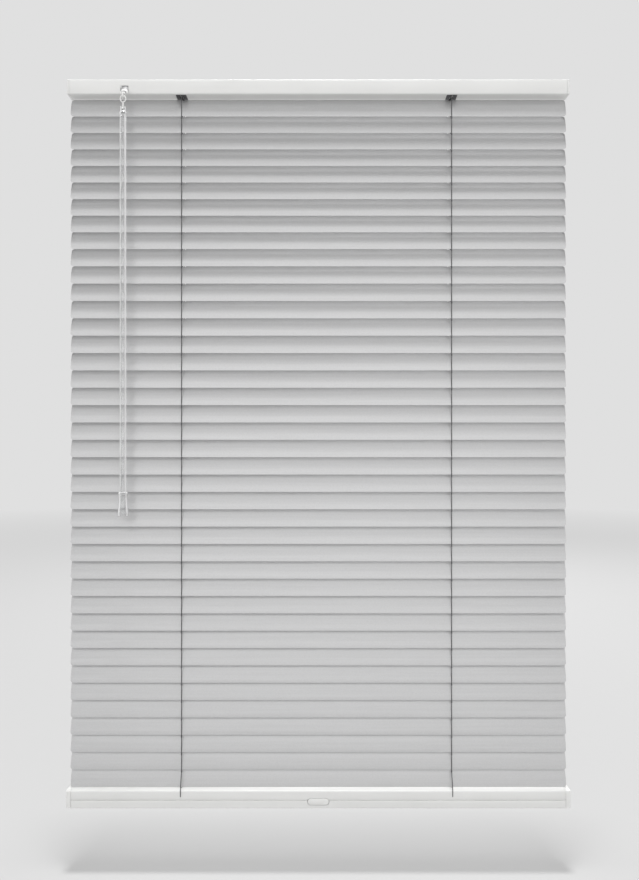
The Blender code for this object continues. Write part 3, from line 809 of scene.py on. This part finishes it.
def wand(clear, steel):
    """Six-sided clear rod with a forked collar, a cross pin and a flared grip."""
    def placed(mesh):
        return moved(mesh, WAND_PIVOT.x, WAND_PIVOT.y, 0)

    collar_profile = [
        (2.7 * MM, -30.0 * MM),
        (3.2 * MM, -30.2 * MM),
        (3.4 * MM, -30.7 * MM),
        (3.4 * MM, -36.2 * MM),
        (4.1 * MM, -37.0 * MM),
        (4.3 * MM, -37.6 * MM),
        (4.3 * MM, -39.2 * MM),
        (4.0 * MM, -39.6 * MM),
    ]
    fork = rectangle_about(0, 0, FORK_HALF_GAP, 8 * MM, 0.3 * MM)
    fork_gap = along_z("fork_gap", fork, WAND_PIVOT.z - FORK_DEPTH, WAND_PIVOT.z + 6 * MM)
    collar = cut(turned("collar", collar_profile, 40), fork_gap)
    piece("wand_collar", placed(collar), clear, "wand")
    pin_profile = [(0.5 * MM, -3.3 * MM), (0.6 * MM, -3.2 * MM), (0.6 * MM, 3.2 * MM), (0.5 * MM, 3.3 * MM)]
    pin = turned("pin", pin_profile, 20)
    piece("wand_pin", turn_to_x(pin, *WAND_PIVOT), steel, "wand")

    steps = 60
    heights = [ROD_TOP_Z + (GRIP_TOP_Z - ROD_TOP_Z) * i / steps for i in range(steps + 1)]
    section = rounded([(x, y, 0.9 * MM) for x, y in circle(WAND_RADIUS * 0.97, 6)], 4)
    rod = loft("rod", [[(x, y, z) for x, y in section] for z in heights])
    piece("wand_rod", placed(rod), clear, "wand", ["wand"])

    grip_profile = [
        (WAND_RADIUS + 0.2 * MM, GRIP_TOP_Z - 0.1 * MM),
        (WAND_RADIUS + 0.9 * MM, GRIP_TOP_Z - 0.4 * MM),
        (WAND_RADIUS + 1.3 * MM, GRIP_TOP_Z - 1.3 * MM),
        (WAND_RADIUS + 1.0 * MM, GRIP_TOP_Z - 2.4 * MM),
        (WAND_RADIUS + 0.5 * MM, GRIP_TOP_Z - 4 * MM),
        (WAND_RADIUS + 0.6 * MM, GRIP_TOP_Z - 11 * MM),
        (WAND_RADIUS + 1.1 * MM, GRIP_TOP_Z - 20 * MM),
        (WAND_RADIUS + 1.9 * MM, GRIP_BOTTOM_Z + 5 * MM),
        (WAND_RADIUS + 1.9 * MM, GRIP_BOTTOM_Z + 1.4 * MM),
        (WAND_RADIUS + 1.6 * MM, GRIP_BOTTOM_Z + 0.4 * MM),
        (WAND_RADIUS + 0.9 * MM, GRIP_BOTTOM_Z),
    ]
    piece("wand_grip", placed(turned("grip", grip_profile, 48)), clear, "wand")


# ---------------------------------------------------------------- slats and ladders

def slat_axis(number):
    return Vector(JOINTS[f"slat_{number:02d}_tilt"]["pos_m"])


def closed_place(number):
    """Takes the open slat, made about its axis, to its closed place."""
    return Matrix.Translation(slat_axis(number)) @ Matrix.Rotation(SLAT_CLOSED, 4, "X")


def slat_stations(half_length):
    """Places along the slat, close together at its rounded ends and at its two notches."""
    steps = 12
    quarter = steps // 2
    ends = [SLAT_CORNER * (1 - math.cos(math.pi / 2 * i / quarter)) for i in range(quarter + 1)]
    stations = [-half_length + d for d in ends] + [half_length - d for d in ends]
    for side in SIDES:
        centre = notch_x(side)
        stations += [centre - NOTCH_RADIUS * math.cos(math.pi * i / steps) for i in range(steps + 1)]
    span = 2 * (half_length - SLAT_CORNER)
    stations += [-half_length + SLAT_CORNER + span * i / steps for i in range(1, steps)]
    return sorted(stations)


def notch_x(side):
    return LADDER_X[side] - math.copysign(NOTCH_INBOARD, LADDER_X[side])


def slat_sheet(number, half_length):
    """A cambered strip with rounded corners and a half-round cord notch at each ladder."""
    half = SLAT_WIDTH / 2
    columns = 14
    bm = bmesh.new()
    layers = ([], [])
    for x in slat_stations(half_length):
        from_end = half_length - abs(x)
        corner = 0.0
        if from_end < SLAT_CORNER:
            corner = SLAT_CORNER - math.sqrt(max(SLAT_CORNER**2 - (SLAT_CORNER - from_end) ** 2, 0))
        bite = 0.0
        for side in SIDES:
            off = abs(x - notch_x(side))
            if off < NOTCH_RADIUS:
                bite = NOTCH_DEPTH * math.sqrt(1 - (off / NOTCH_RADIUS) ** 2)
        front = -half + corner
        rear = half - corner - bite
        rows = ([], [])
        for j in range(columns + 1):
            y = front + (rear - front) * j / columns
            lift = SLAT_CROWN * (1 - (y / half) ** 2)
            normal = Vector((0, 2 * SLAT_CROWN * y / half**2, 1)).normalized()
            for row, offset in zip(rows, (-SLAT_GAUGE / 2, SLAT_GAUGE / 2)):
                row.append(bm.verts.new(Vector((x, y, lift)) + normal * offset))
        layers[0].append(rows[0])
        layers[1].append(rows[1])
    under, over = layers
    last = len(under) - 1
    for i in range(last):
        for j in range(columns):
            bm.faces.new((over[i][j], over[i + 1][j], over[i + 1][j + 1], over[i][j + 1]))
            bm.faces.new((under[i][j], under[i][j + 1], under[i + 1][j + 1], under[i + 1][j]))
        for j in (0, columns):
            bm.faces.new((under[i][j], under[i + 1][j], over[i + 1][j], over[i][j]))
    for i in (0, last):
        for j in range(columns):
            bm.faces.new((under[i][j], over[i][j], over[i][j + 1], under[i][j + 1]))
    mesh = mesh_from("slat", bm)
    mesh.transform(closed_place(number))
    return mesh


def rungs(number):
    """The ladder's cross threads under a slat: a pair at each ladder, which spread apart beneath it."""
    half = SLAT_WIDTH / 2
    threads = []
    for side in SIDES:
        for offset in (-RUNG_SPREAD, RUNG_SPREAD):
            x = LADDER_X[side]
            outside = (x + 0.6 * offset, half + 0.7 * MM, -0.35 * MM)
            under_edge = (x + offset, half - 0.6 * MM, -0.45 * MM)
            points = [
                (x, -LADDER_REACH, 0),
                (outside[0], -outside[1], outside[2]),
                (under_edge[0], -under_edge[1], under_edge[2]),
                (x + offset, 0, -0.4 * MM),
                under_edge,
                outside,
                (x, LADDER_REACH, 0),
            ]
            threads.append(tube("thread", points, RUNG_RADIUS, 6))
    mesh = merged("rungs", threads)
    mesh.transform(closed_place(number))
    return mesh


def slats(paint, yarn):
    for number in range(1, SLAT_COUNT + 1):
        node = f"slat_{number:02d}"
        half_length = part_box(node)[1].x
        piece(f"slat_sheet_{number:02d}", slat_sheet(number, half_length), paint, node, [node])
        piece(f"ladder_rungs_{number:02d}", rungs(number), yarn, node)


def tie_point(number, sign):
    """Where a slat's rung meets the front (-1) or the rear (+1) string, closed."""
    axis = slat_axis(number)
    return (
        axis.y + sign * LADDER_REACH * math.cos(SLAT_CLOSED),
        axis.z + sign * LADDER_REACH * math.sin(SLAT_CLOSED),
    )


def twisted_cord(name, x, y, z_low, z_high, radius):
    """A straight two-ply cord: its section is a little oval and turns along its length."""
    sides = 10
    ovality = 0.20
    count = max(2, round((z_high - z_low) / (CORD_PITCH / 6)))
    rings = []
    for i in range(count + 1):
        z = z_low + (z_high - z_low) * i / count
        twist = 2 * math.pi * z / CORD_PITCH
        ring = []
        for k in range(sides):
            angle = 2 * math.pi * k / sides
            reach = radius * (1 - ovality + ovality * abs(math.cos(angle - twist)))
            ring.append((x + reach * math.cos(angle), y + reach * math.sin(angle), z))
        rings.append(ring)
    return loft(name, rings)


def knot(x, y, z):
    """The swelling of a string where a rung is woven in."""
    profile = []
    for i in range(9):
        angle = math.pi * (i - 4) / 9
        profile.append((KNOT_RADIUS * math.cos(angle), KNOT_HALF_HEIGHT * math.sin(angle)))
    return moved(turned("knot", profile, 10), x, y, z)


def end_tube(name, fixed, tied, look, radius):
    """A short taut end between a rail and a slat's tie point."""
    tilt = Vector((math.cos(SLAT_CLOSED), math.sin(SLAT_CLOSED)))
    level = [Vector(fixed) + Vector((a, b, 0)) for a, b in circle(radius, 10)]
    tilted = [Vector(tied) + Vector((a, b * tilt.x, b * tilt.y)) for a, b in circle(radius, 10)]
    obj = piece(name, loft(name, [level, tilted]), look)
    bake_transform(obj)


def ladders(yarn):
    """Front and rear strings, a lift cord beside each rear string, and the short ends that meet the rails."""
    rail_top = BOTTOM_HIGH.z
    for place, sign in (("front", -1), ("rear", 1)):
        y, z_high = tie_point(1, sign)
        z_low = tie_point(LOWEST_TIED_SLAT, sign)[1]
        for side in SIDES:
            x = LADDER_X[side]
            parts = [twisted_cord("cord", x, y, z_low, z_high, CORD_RADIUS)]
            parts += [knot(x, *tie_point(number, sign)) for number in range(1, LOWEST_TIED_SLAT + 1)]
            cord = merged("cord", parts)
            body = "ladder_" + place
            piece(f"ladder_cord_{place}_{side}", cord, yarn, body, [f"ladder_{place}_{side}"])
            drum = (x, AXIS_Y + sign * (DRUM_GROOVE + CORD_RADIUS), SHAFT.z)
            end_tube(f"ladder_top_{place}_{side}", drum, (x, y, z_high), yarn, CORD_RADIUS)
            foot_y = RAIL_FRONT - CORD_RADIUS if sign < 0 else BOTTOM_HIGH.y - 0.4 * MM
            foot = (x, foot_y, rail_top + CORD_RADIUS)
            end_tube(f"ladder_foot_{place}_{side}", foot, (x, y, z_low), yarn, CORD_RADIUS)
    rear_y, z_high = tie_point(1, 1)
    z_low = tie_point(LOWEST_TIED_SLAT, 1)[1]
    y = rear_y - LIFT_CORD_INSET
    for side in SIDES:
        x = notch_x(side)
        cord = twisted_cord("lift", x, y, z_low, z_high, CORD_RADIUS)
        piece("lift_cord_" + side, cord, yarn, "ladder_rear")
        end_tube("lift_top_" + side, (x, y, SHAFT.z), (x, y, z_high), yarn, CORD_RADIUS)
        foot = (x, y, rail_top - 0.5 * MM)
        end_tube("lift_foot_" + side, foot, (x, y, z_low), yarn, CORD_RADIUS)


# ---------------------------------------------------------------- bottom rail

def bottom_section(inset=0.0, groove=True):
    """The rail's section, with a thin groove along its front face."""
    low = BOTTOM_LOW.z + inset
    high = BOTTOM_HIGH.z - inset
    front = RAIL_FRONT + inset
    radius = RAIL_CORNER - 0.5 * inset
    corners = [(-inset, high, radius), (front, high, radius)]
    if groove:
        deep = front + GROOVE_DEPTH
        groove_high = GROOVE_Z + GROOVE_HALF_HEIGHT
        groove_low = GROOVE_Z - GROOVE_HALF_HEIGHT
        corners += [
            (front, groove_high, GROOVE_BEND),
            (deep, groove_high, GROOVE_BEND),
            (deep, groove_low, GROOVE_BEND),
            (front, groove_low, GROOVE_BEND),
        ]
    corners += [(front, low, radius), (-inset, low, radius)]
    return rounded(corners)


def pill(length, height, z):
    """An (x, z) outline with round ends, about the middle of the rail."""
    nearly_half = 0.499
    return rectangle(-length / 2, length / 2, z - height / 2, z + height / 2, nearly_half * height, 12)


def bottom_rail(steel, white, yarn):
    low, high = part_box("bottom_rail")
    length, height, z = GRIP_PLATE
    rail = along_x("rail", bottom_section(), low.x, high.x)
    hollow = bottom_section(RAIL_WALL, False)
    rail = cut(rail, along_x("hollow", hollow, low.x - OVERRUN, high.x + OVERRUN))
    pocket = pill(length + 2 * PLATE_GAP, height + 2 * PLATE_GAP, z)
    rail = cut(rail, along_y("pocket", pocket, RAIL_FRONT - OVERRUN, RAIL_FRONT + OVERRUN))
    for side in SIDES:
        hole = turned("plug_hole", [(PLUG_HOLE_RADIUS, -4 * MM), (PLUG_HOLE_RADIUS, 4 * MM)], 40)
        rail = cut(rail, moved(hole, LADDER_X[side], AXIS_Y, BOTTOM_LOW.z))
    piece("bottom_rail_channel", rail, steel, "headrail", ["bottom_rail"])

    plate = along_y("plate", pill(length, height, z), RAIL_FRONT - PLATE_PROUD, RAIL_FRONT + PLATE_DEPTH)
    plate = softened(plate, 0.3 * MM, 3)
    piece("grip_plate", plate, white, "headrail")

    plug_profile = [
        (4.3 * MM, 2.4 * MM),
        (4.3 * MM, 0.6 * MM),
        (4.0 * MM, 0.15 * MM),
        (3.0 * MM, 0.0),
        (1.6 * MM, 0.5 * MM),
        (0.6 * MM, 0.7 * MM),
    ]
    front = RAIL_FRONT - 0.8 * CORD_RADIUS
    for side in SIDES:
        x = LADDER_X[side]
        plug = moved(turned("plug", plug_profile, 40), x, AXIS_Y, BOTTOM_LOW.z)
        piece("cord_plug_" + side, plug, white, "headrail")
        tail = [
            (x, front - 0.1 * MM, BOTTOM_HIGH.z + CORD_RADIUS),
            (x, front, BOTTOM_HIGH.z - 2 * MM),
            (x, front, BOTTOM_HIGH.z - 6 * MM),
            (x, front + 0.4 * MM, BOTTOM_HIGH.z - 8 * MM),
        ]
        piece("ladder_tail_" + side, tube("tail", tail, CORD_RADIUS, 10), yarn, "headrail")


def bottom_caps(look):
    """Moulded end caps with rounded edges, each with a tongue inside the rail."""
    for side, sign in zip(SIDES, (-1, 1)):
        low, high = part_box("bottom_rail_cap_" + side)
        outer = high.x if sign > 0 else low.x
        inner = sign * (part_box("bottom_rail")[1].x + GAP)
        plate = along_x("plate", bottom_section(groove=False), *sorted((inner, outer)))
        plate = softened(plate, 0.6 * MM, 3)
        tongue_end = high.x if sign < 0 else low.x
        section = bottom_section(RAIL_WALL + GAP, False)
        tongue = along_x("tongue", section, *sorted((tongue_end, inner + sign * OVERLAP)))
        piece("bottom_end_cap_" + side, joined(plate, tongue), look, "headrail", ["bottom_rail_cap_" + side])


# ---------------------------------------------------------------- stage

def surround():
    """Pale round the horizon and below it, fading to dark overhead."""
    world = bpy.data.worlds.new("surround")
    world.use_nodes = True
    tree = world.node_tree
    place = tree.nodes.new("ShaderNodeTexCoord")
    split = tree.nodes.new("ShaderNodeSeparateXYZ")
    ramp = tree.nodes.new("ShaderNodeValToRGB")
    low, high = ramp.color_ramp.elements
    low.position = 0.60
    low.color = (HORIZON, HORIZON, HORIZON, 1)
    high.position = 0.80
    high.color = (OVERHEAD, OVERHEAD, OVERHEAD, 1)
    tree.links.new(place.outputs["Generated"], split.inputs["Vector"])
    tree.links.new(split.outputs["Z"], ramp.inputs["Fac"])
    tree.links.new(ramp.outputs["Color"], tree.nodes["Background"].inputs["Color"])
    return world


def floor():
    """A wide pale floor whose far part fades to the horizon's tone."""
    look = bpy.data.materials.new("floor")
    look.use_nodes = True
    tree = look.node_tree
    shader = tree.nodes["Principled BSDF"]
    shader.inputs["Roughness"].default_value = 0.95
    shader.inputs["Specular IOR Level"].default_value = 0.0
    shader.inputs["Emission Color"].default_value = (1, 1, 1, 1)
    place = tree.nodes.new("ShaderNodeTexCoord")
    distance = tree.nodes.new("ShaderNodeVectorMath")
    distance.operation = "LENGTH"
    tree.links.new(place.outputs["Object"], distance.inputs[0])
    for socket, near, far in (("Base Color", 0.40, 0.0), ("Emission Strength", 0.24, HORIZON)):
        fade = tree.nodes.new("ShaderNodeMapRange")
        fade.inputs["From Min"].default_value = FADE[0]
        fade.inputs["From Max"].default_value = FADE[1]
        fade.inputs["To Min"].default_value = near
        fade.inputs["To Max"].default_value = far
        tree.links.new(distance.outputs["Value"], fade.inputs["Value"])
        tree.links.new(fade.outputs["Result"], shader.inputs[socket])
    bm = bmesh.new()
    bmesh.ops.create_circle(bm, cap_ends=True, radius=FLOOR_RADIUS, segments=96)
    obj = bpy.data.objects.new("floor", mesh_from("floor", bm))
    obj.location = (0, 0, BOTTOM_LOW.z - FLOOR_DROP)
    obj.data.materials.append(look)
    bpy.context.scene.collection.objects.link(obj)


def studio():
    """Pale floor, pale surround and soft lights, with the camera in front of the blind."""
    scene = bpy.context.scene
    scene.view_settings.view_transform = "Standard"
    scene.world = surround()
    floor()

    for name, place, size, power in LIGHTS:
        data = bpy.data.lights.new(name, "AREA")
        data.size = size
        data.energy = power
        light = bpy.data.objects.new(name, data)
        light.location = place
        light.visible_camera = False
        light.rotation_euler = (AIM - Vector(place)).to_track_quat("-Z", "Y").to_euler()
        scene.collection.objects.link(light)

    lens = bpy.data.cameras.new("camera")
    lens.sensor_width = CAMERA_SENSOR
    lens.lens = CAMERA_LENS
    camera = bpy.data.objects.new("camera", lens)
    camera.location = CAMERA_PLACE
    camera.rotation_euler = (math.pi / 2, 0, 0)
    scene.collection.objects.link(camera)
    scene.camera = camera


def build():
    white_steel = enamel()
    white_plastic = white_moulding()
    grey_plastic = grey_moulding()
    nylon = grey_nylon()
    steel = zinc()
    clear = acrylic()
    yarn = cord_yarn()
    paint = slat_paint()

    studio()
    headrail(white_steel)
    headrail_caps(white_plastic)
    cradles(grey_plastic)
    drums(white_plastic, yarn)
    refinish("tilt_rod", steel)
    refinish("tilter_gear", white_plastic)
    housing(nylon, white_plastic)
    worm(nylon, white_plastic)
    hook(white_plastic)
    wand(clear, steel)
    slats(paint, yarn)
    ladders(yarn)
    bottom_rail(white_steel, white_plastic, yarn)
    bottom_caps(white_plastic)


build()

bpy.context.view_layer.update()
